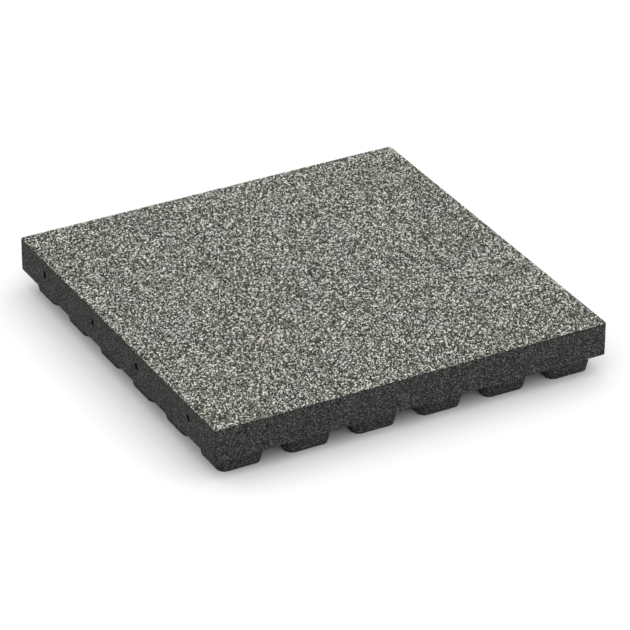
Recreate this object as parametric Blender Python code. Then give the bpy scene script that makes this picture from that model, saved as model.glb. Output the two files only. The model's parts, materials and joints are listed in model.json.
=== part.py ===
"""Rubber safety tile: one pressed slab of bound rubber granulate on square drainage feet.

Metres, +Z up. The origin is the centre of the base, on the ground that the feet stand on.
The edges with dowel sockets face -X and +X.
"""

import math

import bmesh
import bpy
from mathutils import Matrix

# Driving dimensions of the tile
SIDE = 0.500
HEIGHT = 0.065
SLAB_THICKNESS = 0.041
CORNER_RADIUS = 0.004
RIM_RADIUS = 0.0015

# Feet: a square grid of blocks that taper with the draft of the mould
FEET_PER_SIDE = 6
FOOT_PITCH = 0.084
FOOT_ROOT = 0.064
FOOT_TIP = 0.053
FOOT_TIP_RADIUS = 0.0095

# Blind sockets for the round dowels that join tile to tile
SOCKET_DIAMETER = 0.009
SOCKET_DEPTH = 0.030
SOCKET_BELOW_TOP = 0.019
SOCKETS_FROM_MIDDLE = (0.0565, 0.184)

# Fineness of the round stretches
CORNER_STEPS = 4
RIM_STEPS = 2
SOCKET_SIDES = 16
SMOOTH_BELOW = math.radians(35)

# How far a joining or cutting shape runs past the face it meets
OVERRUN = 0.006

FOOT_HEIGHT = HEIGHT - SLAB_THICKNESS
FOOT_DRAFT = (FOOT_ROOT - FOOT_TIP) / 2 / FOOT_HEIGHT
CORNER_SIGNS = ((1, 1), (-1, 1), (-1, -1), (1, -1))

# Linear colours
DARK_GRANULATE = (0.045, 0.045, 0.044)
SPECKLED_GRANULATE = (0.20, 0.20, 0.18)


def clear_scene():
    for obj in list(bpy.data.objects):
        bpy.data.objects.remove(obj, do_unlink=True)


def rubber(name, colour):
    """Matt rubber of one colour."""
    material = bpy.data.materials.new(name)
    material.use_nodes = True
    shader = material.node_tree.nodes["Principled BSDF"]
    shader.inputs["Base Color"].default_value = (*colour, 1.0)
    shader.inputs["Roughness"].default_value = 0.9
    shader.inputs["Metallic"].default_value = 0.0
    return material


def rounded_square(side, radius, z, centre=(0.0, 0.0)):
    """Points round a square with rounded corners, anticlockwise seen from above."""
    reach = side / 2 - radius
    points = []
    for corner, (sign_x, sign_y) in enumerate(CORNER_SIGNS):
        for step in range(CORNER_STEPS + 1):
            angle = math.radians(90) * (corner + step / CORNER_STEPS)
            x = centre[0] + sign_x * reach + radius * math.cos(angle)
            y = centre[1] + sign_y * reach + radius * math.sin(angle)
            points.append((x, y, z))
    return points


def loft(bm, outlines):
    """Joins outlines of equal length, lowest first, into a closed solid, and returns its top face."""
    rings = [[bm.verts.new(point) for point in outline] for outline in outlines]
    for lower, upper in zip(rings, rings[1:]):
        for here in range(len(lower)):
            after = (here + 1) % len(lower)
            bm.faces.new((lower[here], lower[after], upper[after], upper[here]))
    bm.faces.new(rings[0][::-1])
    return bm.faces.new(rings[-1])


def add_object(name, bm, materials=()):
    mesh = bpy.data.meshes.new(name)
    bm.to_mesh(mesh)
    bm.free()
    mesh.shade_smooth()
    mesh.set_sharp_from_angle(angle=SMOOTH_BELOW)
    for material in materials:
        mesh.materials.append(material)
    obj = bpy.data.objects.new(name, mesh)
    bpy.context.scene.collection.objects.link(obj)
    return obj


def hide_helper(obj):
    obj.hide_render = True
    obj.display_type = "WIRE"
    return obj


def make_slab(materials):
    """The slab, with upright rounded corners and a small round along its top rim."""
    outlines = [rounded_square(SIDE, CORNER_RADIUS, FOOT_HEIGHT)]
    for step in range(RIM_STEPS + 1):
        angle = math.radians(90) * step / RIM_STEPS
        inset = RIM_RADIUS * (1 - math.cos(angle))
        z = HEIGHT - RIM_RADIUS * (1 - math.sin(angle))
        outlines.append(rounded_square(SIDE - 2 * inset, CORNER_RADIUS - inset, z))
    bm = bmesh.new()
    wear_face = loft(bm, outlines)
    wear_face.material_index = 1
    return add_object("tile", bm, materials)


def grid_places():
    """Centres of the feet, row by row."""
    first = -FOOT_PITCH * (FEET_PER_SIDE - 1) / 2
    places = [first + FOOT_PITCH * number for number in range(FEET_PER_SIDE)]
    return [(x, y) for y in places for x in places]


def make_feet():
    """All the feet as blocks that run on up into the slab with the same draft."""
    top = FOOT_HEIGHT + OVERRUN
    growth = FOOT_DRAFT * top
    bm = bmesh.new()
    for centre in grid_places():
        tip = rounded_square(FOOT_TIP, FOOT_TIP_RADIUS, 0.0, centre)
        root = rounded_square(FOOT_TIP + 2 * growth, FOOT_TIP_RADIUS + growth, top, centre)
        loft(bm, [tip, root])
    return hide_helper(add_object("foot_blocks", bm))


def make_socket_cutters():
    """Round rods that stand in from the two jointed edges, level with each other."""
    length = SOCKET_DEPTH + OVERRUN
    from_middle = SIDE / 2 - SOCKET_DEPTH + length / 2
    z = HEIGHT - SOCKET_BELOW_TOP
    bm = bmesh.new()
    for edge in (-1, 1):
        for offset in SOCKETS_FROM_MIDDLE:
            for y in (-offset, offset):
                place = Matrix.Translation((edge * from_middle, y, z))
                along_x = Matrix.Rotation(math.radians(90), 4, "Y")
                bmesh.ops.create_cone(
                    bm,
                    cap_ends=True,
                    segments=SOCKET_SIDES,
                    radius1=SOCKET_DIAMETER / 2,
                    radius2=SOCKET_DIAMETER / 2,
                    depth=length,
                    matrix=place @ along_x,
                )
    return hide_helper(add_object("socket_cutters", bm))


def combine(obj, operation, other):
    modifier = obj.modifiers.new(f"{operation.lower()} {other.name}", "BOOLEAN")
    modifier.operation = operation
    modifier.solver = "EXACT"
    modifier.object = other


def main():
    clear_scene()
    materials = [
        rubber("dark rubber granulate", DARK_GRANULATE),
        rubber("speckled wear surface", SPECKLED_GRANULATE),
    ]
    tile = make_slab(materials)
    combine(tile, "UNION", make_feet())
    combine(tile, "DIFFERENCE", make_socket_cutters())


main()
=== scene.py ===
# %% [markdown]
# # A rubber safety tile
# This lesson dresses one tile of the kind that is laid under swings and slides. The real tile is
# one pressing of shredded rubber in a clear binder: dark crumb through the slab and its feet, and a
# wear face of mixed pale and grey granules. The exact solid comes from the frame. Here it gets the
# grain that the eye reads as pressed rubber.

# %% Load the frame
import json
import math

import bmesh
import bpy
import numpy as np
from mathutils import Matrix, Quaternion, Vector

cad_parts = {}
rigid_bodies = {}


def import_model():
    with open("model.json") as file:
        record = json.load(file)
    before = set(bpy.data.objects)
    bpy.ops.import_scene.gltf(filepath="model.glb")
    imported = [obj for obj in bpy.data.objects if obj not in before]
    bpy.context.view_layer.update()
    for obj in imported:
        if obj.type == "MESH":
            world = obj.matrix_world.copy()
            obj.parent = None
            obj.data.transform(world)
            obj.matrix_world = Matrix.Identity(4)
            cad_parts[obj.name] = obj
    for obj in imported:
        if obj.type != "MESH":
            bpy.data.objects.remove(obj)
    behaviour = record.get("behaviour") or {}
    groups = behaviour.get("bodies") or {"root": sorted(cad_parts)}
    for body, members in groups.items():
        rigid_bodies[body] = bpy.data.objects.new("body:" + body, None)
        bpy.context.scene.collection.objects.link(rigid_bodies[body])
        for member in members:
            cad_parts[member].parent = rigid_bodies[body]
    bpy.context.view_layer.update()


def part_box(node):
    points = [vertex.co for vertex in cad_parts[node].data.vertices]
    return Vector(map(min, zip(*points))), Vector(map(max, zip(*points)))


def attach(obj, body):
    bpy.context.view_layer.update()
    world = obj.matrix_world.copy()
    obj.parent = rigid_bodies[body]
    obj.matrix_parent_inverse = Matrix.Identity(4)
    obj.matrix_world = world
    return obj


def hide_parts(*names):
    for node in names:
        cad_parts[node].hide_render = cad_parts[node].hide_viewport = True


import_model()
tile_low, tile_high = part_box("tile")
SIDE = tile_high.x - tile_low.x
HEIGHT = tile_high.z - tile_low.z
MM = 0.001
print(f"tile in the frame: {SIDE / MM:.1f} mm square, {HEIGHT / MM:.1f} mm high")

# %% [markdown]
# ## Camera
# A product shot like this one is made from far away with a long lens, so that the far edges stay
# nearly parallel to the near ones. A camera can be placed by eye, but here its bearing, height,
# distance and lens were worked out from the tile's straight edges in the picture, and a slight roll
# takes out the last half pixel.

# %% Place the camera
LENS_MM = 226.0
SENSOR_MM = 36.0
CAMERA_AZIMUTH = math.radians(-28.59)
CAMERA_ELEVATION = math.radians(29.54)
CAMERA_ROLL = math.radians(0.14)
CAMERA_DISTANCE = 4.5537
CAMERA_REACH = 50.0
AIM = Vector((-0.0053, -0.0267, 0.0322))


def add_camera():
    """Looks at AIM from CAMERA_DISTANCE. Azimuth 0 looks along +Y."""
    level = math.cos(CAMERA_ELEVATION)
    back = Vector(
        (
            math.sin(CAMERA_AZIMUTH) * level,
            -math.cos(CAMERA_AZIMUTH) * level,
            math.sin(CAMERA_ELEVATION),
        )
    )
    data = bpy.data.cameras.new("camera")
    data.lens = LENS_MM
    data.sensor_width = SENSOR_MM
    data.clip_end = CAMERA_REACH
    camera = bpy.data.objects.new("camera", data)
    camera.location = AIM + back * CAMERA_DISTANCE
    aimed = (-back).to_track_quat("-Z", "Y")
    camera.rotation_mode = "QUATERNION"
    camera.rotation_quaternion = aimed @ Quaternion((0, 0, 1), CAMERA_ROLL)
    bpy.context.scene.collection.objects.link(camera)
    bpy.context.scene.camera = camera
    return camera


camera = add_camera()
print("camera at", [round(value, 3) for value in camera.location])

# %% [markdown]
# ## Floor and light
# The tile stands on a white sweep in a light tent: light comes from all round, so there is one soft
# pool of shade under the slab and no hard shadow. Lamps could build the tent, but a bright world
# does the same with no noise. It is brighter overhead than at the horizon, as a tent with its lamp
# on top is, which keeps the pool of shade short, and a little brighter on the camera's right, which
# makes the shade reach further to the left.

# %% Make the floor and the light
FLOOR_SIZE = 12.0
FLOOR_WHITE = 0.93
HORIZON_LIGHT = 0.92
OVERHEAD_GAIN = 0.46
RIGHT_GAIN = 0.09


def add_floor():
    """A white floor that is part of the stage, not of the tile."""
    mesh = bpy.data.meshes.new("floor")
    edge = FLOOR_SIZE / 2
    corners = [(-edge, -edge, 0), (edge, -edge, 0), (edge, edge, 0), (-edge, edge, 0)]
    mesh.from_pydata(corners, [], [(0, 1, 2, 3)])
    material = bpy.data.materials.new("white sweep")
    material.use_nodes = True
    shader = material.node_tree.nodes["Principled BSDF"]
    shader.inputs["Base Color"].default_value = (FLOOR_WHITE, FLOOR_WHITE, FLOOR_WHITE, 1)
    shader.inputs["Roughness"].default_value = 1.0
    shader.inputs["Specular IOR Level"].default_value = 0.0
    mesh.materials.append(material)
    floor = bpy.data.objects.new("floor", mesh)
    bpy.context.scene.collection.objects.link(floor)


def add_world():
    """A white sky: HORIZON_LIGHT all round, and more of it further up and to the right."""
    world = bpy.data.worlds.new("light tent")
    world.use_nodes = True
    nodes, links = world.node_tree.nodes, world.node_tree.links
    right = Vector((math.cos(CAMERA_AZIMUTH), math.sin(CAMERA_AZIMUTH), 0))
    direction = nodes.new("ShaderNodeTexCoord")
    lean = nodes.new("ShaderNodeVectorMath")
    lean.operation = "DOT_PRODUCT"
    lean.inputs[1].default_value = right * RIGHT_GAIN + Vector((0, 0, OVERHEAD_GAIN))
    strength = nodes.new("ShaderNodeMath")
    strength.operation = "ADD"
    strength.inputs[1].default_value = HORIZON_LIGHT
    links.new(direction.outputs["Generated"], lean.inputs[0])
    links.new(lean.outputs["Value"], strength.inputs[0])
    links.new(strength.outputs["Value"], nodes["Background"].inputs["Strength"])
    nodes["Background"].inputs["Color"].default_value = (1, 1, 1, 1)
    bpy.context.scene.world = world


add_floor()
add_world()
bpy.context.scene.view_settings.view_transform = "Standard"
print(f"light {HORIZON_LIGHT + OVERHEAD_GAIN:.2f} overhead and {HORIZON_LIGHT:.2f} at the horizon")

# %% [markdown]
# ## Materials
# All rubber here is made of the same few steps: a shader with a roughness and a gloss, a grey
# picked off a ramp, something that darkens it, and a bump. They could be wired by hand in the
# shader editor, but that can't be repeated. So each step is a short helper, and a finish is then a
# few lines.

# %% Get ready to mix
RUBBER_GLOSS = 0.25


def new_material(name, roughness, gloss):
    """A material with its Principled shader, ready for nodes."""
    material = bpy.data.materials.new(name)
    material.use_nodes = True
    shader = material.node_tree.nodes["Principled BSDF"]
    shader.inputs["Roughness"].default_value = roughness
    shader.inputs["Specular IOR Level"].default_value = gloss
    return material, shader


def add_node(material, kind, **settings):
    """A new node of the material, with its settings."""
    node = material.node_tree.nodes.new(kind)
    for name, value in settings.items():
        setattr(node, name, value)
    return node


def join(material, output, socket):
    """A link from one node's output to another's socket."""
    material.node_tree.links.new(output, socket)


def colour_ramp(material, stops):
    """A ramp through (place, grey, warmth), where warmth takes a share of the blue away."""
    ramp = add_node(material, "ShaderNodeValToRGB")
    elements = ramp.color_ramp.elements
    while len(elements) < len(stops):
        elements.new(1.0)
    for element, (place, grey, warmth) in zip(elements, stops):
        element.position = place
        element.color = (grey, grey, grey * (1 - warmth), 1.0)
    return ramp


def multiply(material, colour, factor, share=1.0):
    """The output of a node that darkens colour by factor, as far as share says."""
    mix = add_node(material, "ShaderNodeMix", data_type="RGBA", blend_type="MULTIPLY")
    mix.inputs["Factor"].default_value = share
    join(material, colour, mix.inputs["A"])
    join(material, factor, mix.inputs["B"])
    return mix.outputs["Result"]


def roughen(material, shader, height, depth, strength):
    """Bumps the shader's surface by height, up to depth."""
    bump = add_node(material, "ShaderNodeBump")
    bump.inputs["Distance"].default_value = depth
    bump.inputs["Strength"].default_value = strength
    join(material, height, bump.inputs["Height"])
    join(material, bump.outputs["Normal"], shader.inputs["Normal"])


print("gloss of plain rubber:", RUBBER_GLOSS)

# %% [markdown]
# ## Dark granulate
# The slab is pressed from crumbs of black tyre rubber a millimetre or two across. They differ a
# little in shade, a few are pale, and the pores between them are painted the darkest: partly the
# dark rubber there, partly painted shade. A picture of rubber could be laid on, but it would repeat
# and stretch. Voronoi cells are crumbs by nature: one random colour for each cell, and a dip along
# the cell's border, painted darker.

# %% Mix the dark granulate
CRUMB_SIZE = 1.05 * MM
PORE_SHARE = 0.16
PORE_AND_SHADE_DARKNESS = 0.55
CRUMB_RELIEF = 0.2 * MM
CRUMB_BUMP = 0.8
CRUMB_ROUGHNESS = 0.82
SIDE_GLOSS = 0.19
SIDE_SHADES = [
    (0.0, 0.001, 0.02),
    (0.25, 0.014, 0.02),
    (0.5, 0.040, 0.02),
    (0.76, 0.072, 0.03),
    (0.93, 0.120, 0.05),
    (1.0, 0.260, 0.06),
]
BED_SHADES = [(0.0, 0.008, 0.34), (0.5, 0.028, 0.34), (0.84, 0.065, 0.28), (1.0, 0.150, 0.20)]


def dark_granulate(name, shades, gloss):
    """Crumbs as Voronoi cells: a grey for each, and a dip between them painted dark as pores and
    shade.
    """
    material, shader = new_material(name, CRUMB_ROUGHNESS, gloss)
    coordinates = add_node(material, "ShaderNodeTexCoord")
    crumbs = add_node(material, "ShaderNodeTexVoronoi")
    borders = add_node(material, "ShaderNodeTexVoronoi", feature="DISTANCE_TO_EDGE")
    for voronoi in (crumbs, borders):
        voronoi.inputs["Scale"].default_value = 1 / CRUMB_SIZE
        join(material, coordinates.outputs["Object"], voronoi.inputs["Vector"])
    split = add_node(material, "ShaderNodeSeparateColor")
    join(material, crumbs.outputs["Color"], split.inputs["Color"])
    shade = colour_ramp(material, shades)
    join(material, split.outputs["Red"], shade.inputs["Fac"])
    pore = add_node(material, "ShaderNodeMapRange", interpolation_type="SMOOTHSTEP")
    pore.inputs["From Max"].default_value = PORE_SHARE
    join(material, borders.outputs["Distance"], pore.inputs["Value"])
    # The borders are painted darker: partly the dark rubber of the pores, partly painted shade
    # between the crumbs.
    colour = multiply(material, shade.outputs["Color"], pore.outputs["Result"], PORE_AND_SHADE_DARKNESS)
    join(material, colour, shader.inputs["Base Color"])
    roughen(material, shader, pore.outputs["Result"], CRUMB_RELIEF, CRUMB_BUMP)
    return material


BLACK_CRUMB = dark_granulate("black rubber crumb", SIDE_SHADES, SIDE_GLOSS)
WARM_BED = dark_granulate("crumb in warm binder", BED_SHADES, RUBBER_GLOSS)
print(f"dark granulate of {CRUMB_SIZE / MM:.2f} mm crumbs")

# %% [markdown]
# The walls of the dowel sockets are painted darker inwards, as painted shade for the little light
# that gets into a deep hole. A second set of shades would end with a hard ring at the mouth, so the
# same crumb is dimmed by how deep it lies: a factor runs down with the distance from the tile's
# edge.

# %% Mix the sockets' painted shade
LIT_DEPTH = 1.0 * MM
DARK_DEPTH = 3.4 * MM
DEEPEST_SHADE = 0.08
WALL_GLOSS = 0.12


def socket_painted_shade():
    """The dark granulate with painted shade: dimmed from the mouth of a socket inwards."""
    material = dark_granulate("crumb with painted socket shade", SIDE_SHADES, WALL_GLOSS)
    shader = material.node_tree.nodes["Principled BSDF"]
    coordinates = add_node(material, "ShaderNodeTexCoord")
    axes = add_node(material, "ShaderNodeSeparateXYZ")
    join(material, coordinates.outputs["Object"], axes.inputs["Vector"])
    from_middle = add_node(material, "ShaderNodeMath", operation="ABSOLUTE")
    join(material, axes.outputs["X"], from_middle.inputs[0])
    # Painted shade: the crumb's colour is dimmed from the socket's mouth inwards.
    dim = add_node(material, "ShaderNodeMapRange")
    dim.inputs["From Min"].default_value = SIDE / 2 - DARK_DEPTH
    dim.inputs["From Max"].default_value = SIDE / 2 - LIT_DEPTH
    dim.inputs["To Min"].default_value = DEEPEST_SHADE
    join(material, from_middle.outputs["Value"], dim.inputs["Value"])
    crumb = shader.inputs["Base Color"].links[0].from_socket
    join(material, multiply(material, crumb, dim.outputs["Result"]), shader.inputs["Base Color"])
    return material


SOCKET_PAINTED_SHADE = socket_painted_shade()
print(f"the sockets' walls go dark within {DARK_DEPTH / MM:.1f} mm")

# %% [markdown]
# ## The tile's body
# Slab, feet and sockets are one pressing, so they are one mesh here too. It is built as the real
# mould is: a slab with rounded upright corners, a grid of blocks that taper with the mould's draft,
# and rods that leave the dowel sockets. It stands a few tenths of a millimetre inside the exact
# solid, so that the crumbs on top of it end at the true size.

# %% Shape the slab
SKIN = 0.4 * MM
BED_DROP = 0.9 * MM
SLAB_THICKNESS = 41 * MM
CORNER_RADIUS = 4 * MM
RIM_RADIUS = 1.5 * MM
FOOT_HEIGHT = HEIGHT - SLAB_THICKNESS
CORNER_STEPS = 6
RIM_STEPS = 4
CORNER_SIGNS = ((1, 1), (-1, 1), (-1, -1), (1, -1))


def rounded_square(side, radius, z, centre=(0.0, 0.0)):
    """Points round a square with rounded corners, anticlockwise seen from above."""
    reach = side / 2 - radius
    points = []
    for corner, (sign_x, sign_y) in enumerate(CORNER_SIGNS):
        for step in range(CORNER_STEPS + 1):
            angle = math.radians(90) * (corner + step / CORNER_STEPS)
            x = centre[0] + sign_x * reach + radius * math.cos(angle)
            y = centre[1] + sign_y * reach + radius * math.sin(angle)
            points.append((x, y, z))
    return points


def loft(bm, outlines):
    """Joins outlines of equal length, lowest first, into a closed solid."""
    rings = [[bm.verts.new(point) for point in outline] for outline in outlines]
    for lower, upper in zip(rings, rings[1:]):
        for here in range(len(lower)):
            after = (here + 1) % len(lower)
            bm.faces.new((lower[here], lower[after], upper[after], upper[here]))
    bm.faces.new(rings[0][::-1])
    bm.faces.new(rings[-1])


def object_from(bm, name, material=None):
    """Turns a bmesh into an object in the scene."""
    mesh = bpy.data.meshes.new(name)
    bm.to_mesh(mesh)
    bm.free()
    if material:
        mesh.materials.append(material)
    piece = bpy.data.objects.new(name, mesh)
    bpy.context.scene.collection.objects.link(piece)
    return piece


def shape_slab():
    """The slab, with upright rounded corners and a small round along its top rim."""
    side = SIDE - 2 * SKIN
    top = HEIGHT - BED_DROP
    outlines = [rounded_square(side, CORNER_RADIUS, FOOT_HEIGHT)]
    for step in range(RIM_STEPS + 1):
        angle = math.radians(90) * step / RIM_STEPS
        inset = RIM_RADIUS * (1 - math.cos(angle))
        z = top - RIM_RADIUS * (1 - math.sin(angle))
        outlines.append(rounded_square(side - 2 * inset, CORNER_RADIUS - inset, z))
    bm = bmesh.new()
    loft(bm, outlines)
    return object_from(bm, "tile_body", BLACK_CRUMB)


tile_body = shape_slab()
print(f"slab from {FOOT_HEIGHT / MM:.1f} to {(HEIGHT - BED_DROP) / MM:.1f} mm")

# %% [markdown]
# The feet hold the slab clear of the ground, so that rain drains away between them. Each is a block
# with the mould's draft: narrow at its tip, wider at the slab. An array modifier could repeat one
# foot, but two loops are as short, and one boolean then joins them all. They run on a little way up
# into the slab, so that no two faces lie in one plane.

# %% Stand it on its feet
FEET_PER_SIDE = 6
FOOT_PITCH = 84 * MM
FOOT_ROOT = 64 * MM
FOOT_TIP = 53 * MM
FOOT_TIP_RADIUS = 9.5 * MM
FOOT_EDGE_RADIUS = 0.5 * MM
OVERRUN = 6 * MM
FOOT_DRAFT = (FOOT_ROOT - FOOT_TIP) / 2 / FOOT_HEIGHT
FOOT_ROW = [FOOT_PITCH * (number - (FEET_PER_SIDE - 1) / 2) for number in range(FEET_PER_SIDE)]


def foot_outline(z, centre, inset=0.0):
    """The foot's outline at one height. Its corners round more towards the slab."""
    growth = FOOT_DRAFT * z - inset
    return rounded_square(FOOT_TIP + 2 * growth, FOOT_TIP_RADIUS + growth, z, centre)


def shape_feet():
    """All the feet, each with a small round along its lower edge, run on up into the slab."""
    bm = bmesh.new()
    for y in FOOT_ROW:
        for x in FOOT_ROW:
            outlines = []
            for step in range(RIM_STEPS + 1):
                angle = math.radians(90) * step / RIM_STEPS
                inset = SKIN + FOOT_EDGE_RADIUS * (1 - math.sin(angle))
                z = FOOT_EDGE_RADIUS * (1 - math.cos(angle))
                outlines.append(foot_outline(z, (x, y), inset))
            outlines.append(foot_outline(FOOT_HEIGHT + OVERRUN, (x, y), SKIN))
            loft(bm, outlines)
    return object_from(bm, "feet")


def apply_boolean(piece, operation, other):
    """Joins or cuts piece with other, and deletes other."""
    modifier = piece.modifiers.new(operation, "BOOLEAN")
    modifier.operation = operation
    modifier.solver = "EXACT"
    modifier.object = other
    evaluated = piece.evaluated_get(bpy.context.evaluated_depsgraph_get())
    result = bpy.data.meshes.new_from_object(evaluated)
    piece.modifiers.clear()
    piece.data = result
    bpy.data.objects.remove(other, do_unlink=True)


apply_boolean(tile_body, "UNION", shape_feet())
print(f"{FEET_PER_SIDE * FEET_PER_SIDE} feet, {FOOT_TIP / MM:.0f} mm wide at the tip")

# %% [markdown]
# The sockets take the round dowels that lock one tile to the next. They stand in two opposite
# edges, level with each other. A bump could fake them, but they are real holes that catch real
# shade, so rods are cut out of the body. The pins of a mould leave soft mouths in rubber, so a
# short cone widens each one.

# %% Cut the dowel sockets
SOCKET_RADIUS = 4.5 * MM
SOCKET_DEPTH = 30 * MM
SOCKET_BELOW_TOP = 19 * MM
SOCKETS_FROM_MIDDLE = (56.5 * MM, 184 * MM)
SOCKET_SIDES = 40
MOUTH_ROUND = 1.0 * MM
SOCKET_HEIGHT = HEIGHT - SOCKET_BELOW_TOP
SOCKET_ROW = [side * offset for offset in SOCKETS_FROM_MIDDLE for side in (-1, 1)]


def add_rod(bm, start, end, radii, y):
    """A round rod at the sockets' height from x = start to x = end, or a cone between two radii."""
    place = Matrix.Translation(((start + end) / 2, y, SOCKET_HEIGHT))
    bmesh.ops.create_cone(
        bm,
        cap_ends=True,
        segments=SOCKET_SIDES,
        radius1=radii[0],
        radius2=radii[1],
        depth=end - start,
        matrix=place @ Matrix.Rotation(math.radians(90), 4, "Y"),
    )


def shape_rods(inner, outer, inner_radius, outer_radius):
    """Rods for all the sockets of both edges, from x = inner to x = outer and mirrored."""
    bm = bmesh.new()
    for y in SOCKET_ROW:
        add_rod(bm, inner, outer, (inner_radius, outer_radius), y)
        add_rod(bm, -outer, -inner, (outer_radius, inner_radius), y)
    return object_from(bm, "rods")


edge_at = SIDE / 2 - SKIN
bottom = SIDE / 2 - SOCKET_DEPTH
rods = shape_rods(bottom, SIDE / 2 + OVERRUN, SOCKET_RADIUS, SOCKET_RADIUS)
apply_boolean(tile_body, "DIFFERENCE", rods)
widest = SOCKET_RADIUS + 2 * MOUTH_ROUND
mouths = shape_rods(edge_at - MOUTH_ROUND, edge_at + MOUTH_ROUND, SOCKET_RADIUS, widest)
apply_boolean(tile_body, "DIFFERENCE", mouths)
print(f"{2 * len(SOCKET_ROW)} sockets; the body has {len(tile_body.data.polygons)} faces")

# %% [markdown]
# The body takes three finishes: black crumb all over, warmer crumb for the bed under the wear face,
# and in the sockets the same crumb painted darker the deeper it lies, as painted shade. Each face
# tells by its place which one it gets. The body stands in for the imported solid, which is hidden.

# %% Give the body its finishes
SMOOTH_BELOW = math.radians(35)
BED_BELOW = 1.01 * BED_DROP
BED_SLOT, WALL_SLOT = 1, 2


def in_a_socket(place):
    """True inside the rods that left the sockets."""
    from_axes = [math.hypot(place.y - y, place.z - SOCKET_HEIGHT) for y in SOCKET_ROW]
    return min(from_axes) < SOCKET_RADIUS


tile_body.data.shade_smooth()
tile_body.data.set_sharp_from_angle(angle=SMOOTH_BELOW)
tile_body.data.materials.append(WARM_BED)
tile_body.data.materials.append(SOCKET_PAINTED_SHADE)
# Faces inside the sockets take the crumb with painted shade in the sockets.
for face in tile_body.data.polygons:
    if face.center.z > HEIGHT - BED_BELOW:
        face.material_index = BED_SLOT
    elif in_a_socket(face.center):
        face.material_index = WALL_SLOT
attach(tile_body, "root")
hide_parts("tile")
print("finishes of the body:", [material.name for material in tile_body.data.materials])

# %% [markdown]
# ## Wear-face granules
# The top two millimetres hold pale and grey granules. Pressing has turned their flat sides up, fine
# crumb fills in between, and dark rubber shows in the gaps. Seen low over the face, each granule
# hides a little of the one behind, which a flat pattern can't do. So every granule is real: a
# drafted plate with four to six corners for the large ones, and a bead with one peak for the fine
# ones. First come their places, on a honeycomb knocked out of step.

# %% Find places for the granules
SEED = 11
GRANULE_PITCH = 1.85 * MM
JITTER = 0.33
rng = np.random.default_rng(SEED)


def honeycomb(width, depth, pitch):
    """Places on staggered rows over a rectangle round the origin, each knocked off its row."""
    row_step = pitch * math.sqrt(3) / 2
    across = np.arange(-width / 2, width / 2, pitch)
    rows = np.arange(-depth / 2, depth / 2, row_step)
    x, y = np.meshgrid(across, rows)
    x = x + (np.arange(len(rows)) % 2)[:, None] * pitch / 2
    places = np.stack([x, y], axis=-1).reshape(-1, 2)
    return places + rng.uniform(-JITTER, JITTER, places.shape) * pitch


def inside_edges(places, margin):
    """Pulls places back inside the tile's rounded outline, margin in from it."""
    margin = np.asarray(margin)[..., None]
    half = SIDE / 2 - margin
    radius = CORNER_RADIUS - margin
    pulled = np.clip(places, -half, half)
    centre = np.sign(pulled) * (half - radius)
    past = np.abs(pulled) - (half - radius)
    reach = np.hypot(past[..., 0], past[..., 1])[..., None]
    in_corner = (past > 0).all(axis=-1)[..., None] & (reach > radius)
    on_the_round = centre + (pulled - centre) * radius / np.maximum(reach, 1e-9)
    return np.where(in_corner, on_the_round, pulled)


places = honeycomb(SIDE, SIDE, GRANULE_PITCH)
rng.shuffle(places)
print(f"{len(places)} places for granules, {GRANULE_PITCH / MM:.2f} mm apart")

# %% [markdown]
# A chip is a ring at its foot, a smaller ring on top and faces between them. Thousands of separate
# objects would be slow, so the rings are worked out for all chips at once and become one joined
# mesh for each shade. A number called tone goes with every chip, and the material reads it, so that
# no two neighbours look quite the same.

# %% Shape the chips
CHIP_RADIUS = (0.85 * MM, 1.70 * MM)
CHIP_FOOT = HEIGHT - 1.3 * MM
CHIP_DROP = 0.55 * MM
CHIP_TILT = math.radians(10)
CHIP_SHRINK = (0.66, 0.86)
CORNER_SHIFT = 0.3
CORNER_REACH = (0.82, 1.18)
NARROWING = (0.7, 1.0)
EDGE_MARGIN = (0.9 * MM, 1.4 * MM)
TOP_MARGIN = 0.2 * MM


def uneven_outlines(count, corners, radius):
    """Uneven outlines round the origin, turned at random: an array (count, corners, 2)."""
    shift = rng.uniform(-CORNER_SHIFT, CORNER_SHIFT, (count, corners))
    angle = (np.arange(corners) + shift) * math.tau / corners
    reach = rng.uniform(*radius, (count, 1)) * rng.uniform(*CORNER_REACH, (count, corners))
    x = reach * np.cos(angle)
    y = reach * np.sin(angle) * rng.uniform(*NARROWING, (count, 1))
    turn = rng.uniform(0, math.tau, (count, 1))
    cos, sin = np.cos(turn), np.sin(turn)
    return np.stack([x * cos - y * sin, x * sin + y * cos], axis=-1)


def chip_rings(centres, corners):
    """The foot rings and the leaning top rings of chips: two arrays (count, corners, 3)."""
    count = len(centres)
    outline = uneven_outlines(count, corners, CHIP_RADIUS)
    margin = rng.uniform(*EDGE_MARGIN, (count, 1))
    foot = inside_edges(centres[:, None] + outline, margin)
    smaller = outline * rng.uniform(*CHIP_SHRINK, (count, 1, 1))
    top = inside_edges(centres[:, None] + smaller, margin + TOP_MARGIN)
    lean = np.tan(rng.uniform(0, CHIP_TILT, (count, 1)))
    toward = rng.uniform(0, math.tau, (count, 1))
    rise = lean * (smaller[..., 0] * np.cos(toward) + smaller[..., 1] * np.sin(toward))
    height = np.minimum(HEIGHT - rng.uniform(0, CHIP_DROP, (count, 1)) + rise, HEIGHT)
    foot_height = np.full((count, corners), CHIP_FOOT)
    return np.dstack([foot, foot_height]), np.dstack([top, height])


print(f"chips {2 * CHIP_RADIUS[0] / MM:.1f} to {2 * CHIP_RADIUS[1] / MM:.1f} mm across")

# %% [markdown]
# Rings become a closed chip with a face below, a wall along each side and a face on top. The mesh
# also carries the tone of each chip, and a flat map. The map is for baking: an exported model keeps
# no nodes, only pictures of them, and a map that is laid out from above gives each chip a spot of
# its own in the picture.

# %% Join them in one mesh
CORNER_SHARES = {4: 0.70, 5: 0.25, 6: 0.05}


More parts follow.
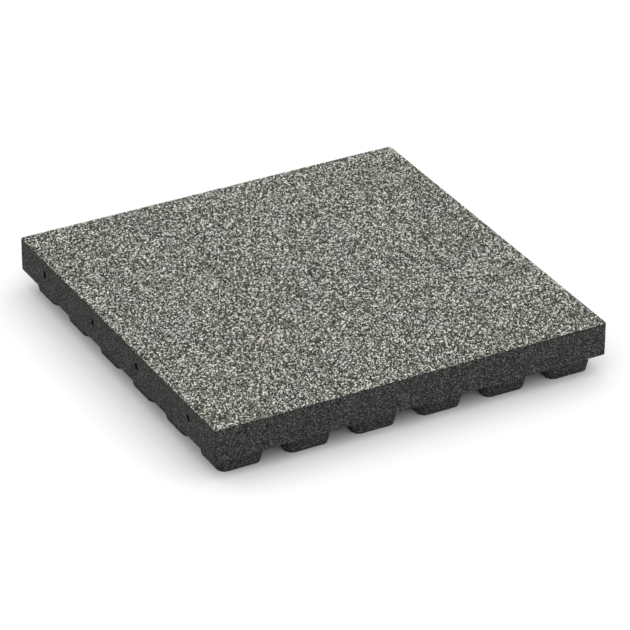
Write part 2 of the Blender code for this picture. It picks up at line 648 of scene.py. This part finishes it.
def grain_mesh(name, points, faces, tones, unrolled):
    """A mesh with a tone at each point, and with a map for baking that unrolled holds."""
    mesh = bpy.data.meshes.new(name)
    mesh.from_pydata(points.tolist(), [], faces)
    attribute = mesh.attributes.new("tone", "FLOAT", "POINT")
    attribute.data.foreach_set("value", tones.astype(np.float32))
    corner_points = np.empty(len(mesh.loops), np.int32)
    mesh.loops.foreach_get("vertex_index", corner_points)
    layer = mesh.uv_layers.new(name="OFBake")
    layer.data.foreach_set("uv", unrolled[corner_points].astype(np.float32).ravel())
    return mesh


def chips_mesh(name, centres, corner_shares):
    """One mesh of closed chips, with corner_shares = {corners: share of the chips}."""
    points, under, walls, over, tones = [], [], [], [], []
    start = first = 0
    for corners, share in corner_shares.items():
        last = first + round(share * len(centres))
        foot, top = chip_rings(centres[first:last], corners)
        count = len(foot)
        points.append(np.concatenate([foot, top], axis=1).reshape(-1, 3))
        tones.append(np.repeat(rng.uniform(0, 1, count), 2 * corners))
        low = start + np.arange(count)[:, None] * 2 * corners + np.arange(corners)
        high = low + corners
        around = np.stack([low, np.roll(low, -1, 1), np.roll(high, -1, 1), high], axis=-1)
        under += low[:, ::-1].tolist()
        walls += around.reshape(-1, 4).tolist()
        over += high.tolist()
        start += count * 2 * corners
        first = last
    points = np.concatenate(points)
    tones = np.concatenate(tones)
    seen_from_above = points[:, :2] / SIDE + 0.5
    return grain_mesh(name, points, under + walls + over, tones, seen_from_above)


print("triangles a chip, by its corners:", {corners: 4 * corners - 4 for corners in CORNER_SHARES})

# %% [markdown]
# A mesh is nothing until an object shows it. Each piece of grain is one object that takes one
# material and rides on the tile's only body. Triangles are counted here, because a piece that has
# too many is slow to load and slow to bake.

# %% Put grain on the tile
PIECE_LIMIT = 200_000


def triangle_count(mesh):
    """How many triangles a mesh is drawn with."""
    mesh.calc_loop_triangles()
    return len(mesh.loop_triangles)


def add_grain(name, mesh, material):
    """Puts a mesh of granules into the scene as a piece of the tile."""
    mesh.materials.append(material)
    piece = bpy.data.objects.new(name, mesh)
    bpy.context.scene.collection.objects.link(piece)
    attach(piece, "root")
    print(f"{name}: {triangle_count(mesh)} triangles")


print(f"a piece of grain may have {PIECE_LIMIT} triangles")

# %% [markdown]
# A granule's own finish is plain: cut rubber, matt, a little mottled, with a warm cast that the
# clear binder gives. One recipe serves every shade. It turns the chip's tone into a grey on a ramp,
# dims it with fine noise, and lets the same noise roughen the surface. The binder isn't spread
# evenly, so slow noise makes patches of the face warmer.

# %% Mix the granules' finish
MOTTLE_SIZE = 1.0 * MM
MOTTLE_DETAIL = 3.0
MOTTLE_RANGE = (0.35, 0.62)
MOTTLE_RELIEF = 0.12 * MM
MOTTLE_BUMP = 0.6
PATCH_SIZE = 50 * MM
PATCH_TINTS = [(0.35, 1.0, 0.0), (0.65, 1.0, 0.06)]


def granulate(name, stops, roughness, dimmest):
    """Mottled, finely rough rubber granules, whose tone picks their shade off the stops."""
    material, shader = new_material(name, roughness, RUBBER_GLOSS)
    tone = add_node(material, "ShaderNodeAttribute", attribute_name="tone")
    shade = colour_ramp(material, stops)
    join(material, tone.outputs["Fac"], shade.inputs["Fac"])
    coordinates = add_node(material, "ShaderNodeTexCoord")
    mottle = add_node(material, "ShaderNodeTexNoise")
    mottle.inputs["Scale"].default_value = 1 / MOTTLE_SIZE
    mottle.inputs["Detail"].default_value = MOTTLE_DETAIL
    join(material, coordinates.outputs["Object"], mottle.inputs["Vector"])
    dim = add_node(material, "ShaderNodeMapRange")
    dim.inputs["From Min"].default_value = MOTTLE_RANGE[0]
    dim.inputs["From Max"].default_value = MOTTLE_RANGE[1]
    dim.inputs["To Min"].default_value = dimmest
    join(material, mottle.outputs["Fac"], dim.inputs["Value"])
    patches = add_node(material, "ShaderNodeTexNoise")
    patches.inputs["Scale"].default_value = 1 / PATCH_SIZE
    join(material, coordinates.outputs["Object"], patches.inputs["Vector"])
    tint = colour_ramp(material, PATCH_TINTS)
    join(material, patches.outputs["Fac"], tint.inputs["Fac"])
    colour = multiply(material, shade.outputs["Color"], dim.outputs["Result"])
    colour = multiply(material, colour, tint.outputs["Color"])
    join(material, colour, shader.inputs["Base Color"])
    roughen(material, shader, mottle.outputs["Fac"], MOTTLE_RELIEF, MOTTLE_BUMP)
    return material


PALE = [(0.0, 0.54, 0.045), (0.5, 0.81, 0.035), (1.0, 0.96, 0.030)]
GREY = [(0.0, 0.22, 0.15), (0.5, 0.375, 0.12), (1.0, 0.57, 0.09)]
DARK = [(0.0, 0.025, 0.34), (0.6, 0.070, 0.30), (1.0, 0.170, 0.22)]
pale = granulate("pale granules", PALE, roughness=0.70, dimmest=0.72)
grey = granulate("grey granules", GREY, roughness=0.75, dimmest=0.68)
dark = granulate("dark granules", DARK, roughness=0.80, dimmest=0.60)
print("three shades of granule:", pale.name, grey.name, dark.name)

# %% [markdown]
# The chips go down first, shade by shade. Each shade takes the next places off the shuffled list,
# so no place is used twice and the shades mix by themselves. Their numbers were set by comparing
# how much of the real face is pale, grey and dark.

# %% Lay the chips
CHIPS = {"pale_chips": (pale, 13800), "grey_chips": (grey, 10700), "dark_chips": (dark, 7500)}
taken = 0
for name, (material, count) in CHIPS.items():
    mesh = chips_mesh(name, places[taken : taken + count], CORNER_SHARES)
    add_grain(name, mesh, material)
    taken += count
print(f"{taken} chips lie on the wear face")

# %% [markdown]
# The fine crumb is cheaper to make: four corners at the foot and one peak, which smooth shading
# turns into a bead. The same bead serves the top, the edges and the feet. Only the rule that puts a
# bead's points on the tile differs, so it is handed over as a function.

# %% Shape the fine crumb
BEAD_CORNERS = 4
BEAD_POINTS = BEAD_CORNERS + 1
BEAD_SHIFT = 0.25 * MM


def stack_rows(centres, offsets, length, width, rows, start=0.0):
    """Places on a square map for a strip that is cut into equal rows, laid side by side."""
    row_length = length / rows
    row = np.floor((centres[:, :1] + start) / row_length)
    along = (centres[:, :1] + start - row * row_length + offsets[..., 0]) / row_length
    across = np.clip((centres[:, 1:] + offsets[..., 1]) / width, 0, 1)
    return np.stack([np.clip(along, 0, 1), (row + across) / rows], axis=-1).reshape(-1, 2)


def beads_mesh(name, centres, radius, foot_depth, peak_depth, placed, strip):
    """Closed four-sided beads round centres on a flat strip.

    placed(along, up, sunk) wraps the strip's points on to the tile, sunk under its true surface.
    strip holds the strip's length and width, and how many rows it makes on the map for baking.
    """
    count = len(centres)
    outline = uneven_outlines(count, BEAD_CORNERS, radius)
    shift = rng.uniform(-BEAD_SHIFT, BEAD_SHIFT, (count, 1, 2))
    offsets = np.concatenate([outline, shift], axis=1)
    sunk = np.full((count, BEAD_POINTS), foot_depth)
    sunk[:, -1] = rng.uniform(0, peak_depth, count)
    along = centres[:, :1] + offsets[..., 0]
    up = centres[:, 1:] + offsets[..., 1]
    points = placed(along, up, sunk).reshape(-1, 3)
    first = np.arange(count)[:, None] * BEAD_POINTS
    ring = first + np.arange(BEAD_CORNERS)
    peak = np.repeat(first + BEAD_CORNERS, BEAD_CORNERS, axis=1)
    sides = np.stack([ring, np.roll(ring, -1, 1), peak], axis=-1).reshape(-1, 3)
    tones = np.repeat(rng.uniform(0, 1, count), BEAD_POINTS)
    faces = ring[:, ::-1].tolist() + sides.tolist()
    mesh = grain_mesh(name, points, faces, tones, stack_rows(centres, offsets, *strip))
    mesh.shade_smooth()
    return mesh


print(f"a bead has {BEAD_POINTS} points and {2 * BEAD_CORNERS - 2} triangles")

# %% [markdown]
# The first rule is the simplest: the wear face is flat, so a bead's place on the strip is its place
# on the tile. The beads start as deep as the chips do, and their peaks end a little lower, as crumb
# that the press pushed in between.

# %% Lay it between the chips
FINE_RADIUS = (0.70 * MM, 1.25 * MM)
FINE_FOOT_DEPTH = 1.3 * MM
FINE_PEAK_DEPTH = 0.8 * MM


def on_the_face(across, along, sunk):
    """The wear face as a strip: its corner is at the strip's start."""
    spots = np.stack([across, along], axis=-1) - SIDE / 2
    margin = np.full(across.shape, EDGE_MARGIN[0])
    return np.dstack([inside_edges(spots, margin), HEIGHT - sunk])


FACE_STRIP = (SIDE, SIDE, 1)
FINE_SIZES = (FINE_RADIUS, FINE_FOOT_DEPTH, FINE_PEAK_DEPTH)
FINE_CRUMB = {"pale_crumb": (pale, 20000), "grey_crumb": (grey, 18000), "dark_crumb": (dark, 11000)}
for name, (material, count) in FINE_CRUMB.items():
    centres = places[taken : taken + count] + SIDE / 2
    mesh = beads_mesh(name, centres, *FINE_SIZES, on_the_face, FACE_STRIP)
    add_grain(name, mesh, material)
    taken += count
print(f"{len(places) - taken} places stay open")

# %% [markdown]
# ## Crumb on the edges
# The slab's edges are as coarse as its top, only black, and the black reaches round the rim. Bump
# alone leaves their outline as straight as glass, so beads stand on them too. They are laid out on
# the edge as if it were unrolled and then wrapped round the tile: along the outline with its four
# corners, up the edge, and over the rim.

# %% Unroll the edge
LOWEST_BEAD = 0.1 * MM
EDGE_LENGTH = 4 * (SIDE - 2 * CORNER_RADIUS) + math.tau * CORNER_RADIUS


def wrap(along, side, radius, inset):
    """Points inset from a rounded square's outline, anticlockwise along it from its +X side."""
    straight = side - 2 * radius
    turn, left = np.divmod(along, straight + math.pi / 2 * radius)
    run = np.minimum(left, straight) - straight / 2
    angle = np.maximum(left - straight, 0) / radius
    x = side / 2 - radius + (radius - inset) * np.cos(angle)
    y = run + (radius - inset) * np.sin(angle)
    cos, sin = np.cos(turn * math.pi / 2), np.sin(turn * math.pi / 2)
    return x * cos - y * sin, x * sin + y * cos


def on_the_edge(along, up, sunk):
    """Up runs from the slab's foot to its rim, over its round and then in across the wear face."""
    up = np.maximum(up, LOWEST_BEAD)
    over = up - (SLAB_THICKNESS - RIM_RADIUS)
    angle = np.clip(over / RIM_RADIUS, 0, math.pi / 2)
    flat = np.maximum(over - RIM_RADIUS * math.pi / 2, 0)
    radius = RIM_RADIUS - sunk
    inset = RIM_RADIUS - radius * np.cos(angle) + flat
    x, y = wrap(along % EDGE_LENGTH, SIDE, CORNER_RADIUS, inset)
    z = np.where(over < 0, FOOT_HEIGHT + up, HEIGHT - RIM_RADIUS + radius * np.sin(angle))
    return np.stack([x, y, z], axis=-1)


print(f"the edge unrolls to a strip {EDGE_LENGTH:.3f} m long")

# %% [markdown]
# Crumb that stood in the mouth of a socket would close it, so places near a mouth are dropped
# before any bead is made. The strip is as wide as the edge is high, plus the round of the rim and a
# narrow band of the wear face, where black and pale meet.

# %% Wrap crumb round it
EDGE_PITCH = 2.05 * MM
EDGE_RADIUS = (0.75 * MM, 1.35 * MM)
EDGE_FOOT_DEPTH = 0.55 * MM
EDGE_PEAK_DEPTH = 0.28 * MM
EDGE_SIZES = (EDGE_RADIUS, EDGE_FOOT_DEPTH, EDGE_PEAK_DEPTH)
EDGE_ROWS = 8
RIM_BAND = 0.7 * MM
SOCKET_CLEARANCE = 1.8 * MM


def clear_of_sockets(points):
    """False where a point of the two jointed edges lies in a socket's mouth."""
    elsewhere = np.abs(points[:, 0]) < SIDE / 2 - RIM_RADIUS
    clear = np.ones(len(points), bool)
    for y in SOCKET_ROW:
        from_axis = np.hypot(points[:, 1] - y, points[:, 2] - SOCKET_HEIGHT)
        clear &= (from_axis > SOCKET_RADIUS + SOCKET_CLEARANCE) | elsewhere
    return clear


climb = SLAB_THICKNESS - RIM_RADIUS + math.pi / 2 * RIM_RADIUS + RIM_BAND
centres = honeycomb(EDGE_LENGTH, climb, EDGE_PITCH) + (EDGE_LENGTH / 2, climb / 2)
centres = centres[clear_of_sockets(on_the_edge(*centres.T, np.zeros(len(centres))))]
edge_strip = (EDGE_LENGTH, climb, EDGE_ROWS)
mesh = beads_mesh("edge_crumb", centres, *EDGE_SIZES, on_the_edge, edge_strip)
add_grain("edge_crumb", mesh, BLACK_CRUMB)

# %% [markdown]
# The feet get the same crumb where light and eye reach them: on the flanks that look out from under
# the slab, and round their corners a little way into the drainage channels. Deeper in, the body's
# own finish does.

# %% Wrap crumb round the outer feet
FOOT_BEAD_PITCH = 2.2 * MM
SEEN_DEPTH = 30 * MM
FOOT_BEAD_LOWEST = 0.5 * MM
FOOT_BEAD_HIGHEST = FOOT_HEIGHT - 0.2 * MM


def on_a_foot(centre):
    """The rule that puts beads on the drafted flanks of the foot that stands there."""

    def placed(along, up, sunk):
        z = np.clip(up, FOOT_BEAD_LOWEST, FOOT_BEAD_HIGHEST)
        growth = FOOT_DRAFT * z
        side, radius = FOOT_TIP + 2 * growth, FOOT_TIP_RADIUS + growth
        length = 4 * (side - 2 * radius) + math.tau * radius
        x, y = wrap(along % length, side, radius, sunk)
        return np.stack(np.broadcast_arrays(centre[0] + x, centre[1] + y, z), axis=-1)

    return placed


def crumb_a_foot(number, feet, centre):
    """Beads on the outer flanks of one foot, which has its own row on the map for baking."""
    around = 4 * (FOOT_ROOT - 2 * FOOT_TIP_RADIUS) + math.tau * FOOT_TIP_RADIUS
    centres = honeycomb(around, FOOT_HEIGHT, FOOT_BEAD_PITCH) + (around / 2, FOOT_HEIGHT / 2)
    placed = on_a_foot(centre)
    at = placed(*centres.T, np.zeros(len(centres)))
    centres = centres[np.abs(at[:, :2]).max(axis=1) > SIDE / 2 - SEEN_DEPTH]
    strip = (around * feet, FOOT_HEIGHT, feet, around * number)
    return beads_mesh("foot_crumb", centres, *EDGE_SIZES, placed, strip)


def join_meshes(name, meshes):
    """One mesh of many, which are deleted."""
    bm = bmesh.new()
    for mesh in meshes:
        bm.from_mesh(mesh)
        bpy.data.meshes.remove(mesh)
    joined = bpy.data.meshes.new(name)
    bm.to_mesh(joined)
    bm.free()
    return joined


outermost = max(FOOT_ROW)
outer_feet = [(x, y) for y in FOOT_ROW for x in FOOT_ROW if max(abs(x), abs(y)) > outermost - MM]
meshes = [crumb_a_foot(number, len(outer_feet), centre) for number, centre in enumerate(outer_feet)]
mesh = join_meshes("foot_crumb", meshes)
add_grain("foot_crumb", mesh, BLACK_CRUMB)
